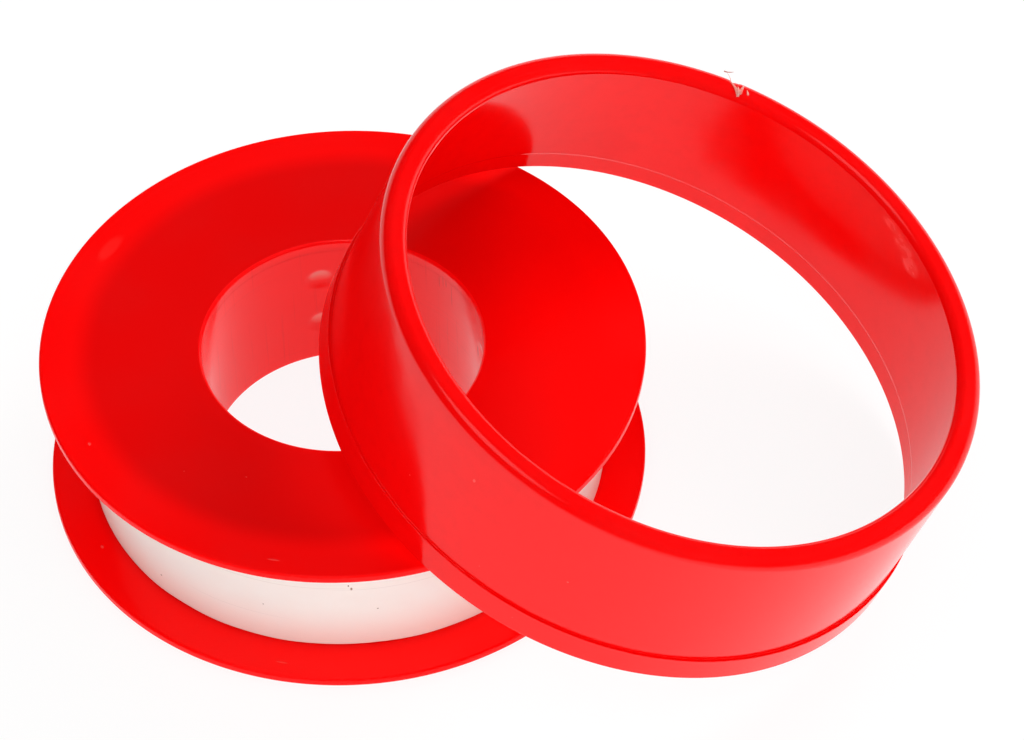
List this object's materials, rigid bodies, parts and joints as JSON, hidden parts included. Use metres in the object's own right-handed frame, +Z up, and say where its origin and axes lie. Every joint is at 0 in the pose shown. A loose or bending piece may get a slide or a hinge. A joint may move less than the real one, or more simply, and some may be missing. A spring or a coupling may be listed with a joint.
{
  "type": "thread seal tape roll",
  "caption": "Flanged plastic spool wound with thin white thread seal tape, with its push-on cover ring taken off and leaning on the spool's edge.",
  "frame": {"origin": "centre of the bore at the underside of the lower flange", "axes": "+Z up along the bore axis; the cover ring leans on the spool on its +X side"},
  "size_m": [0.0798, 0.0596, 0.0343],
  "materials": {
    "spool_red": "glossy moulded red plastic",
    "flange_red": "glossy moulded red plastic",
    "cover_red": "glossy thin-walled moulded red plastic",
    "tape_white": "soft matt white film, wound tight"
  },
  "bodies": {
    "spool": {"spool_body": "spool_red", "top_flange": "flange_red", "tape_core": "tape_white", "tape_outer_turn": "tape_white"},
    "cover": {"cover_ring": "cover_red"}
  },
  "joints": [
    {"name": "cover_lift", "type": "slide", "parent": "spool", "child": "cover", "axis": [0, 0, 1], "range_m": [0, 0.04]}
  ]
}
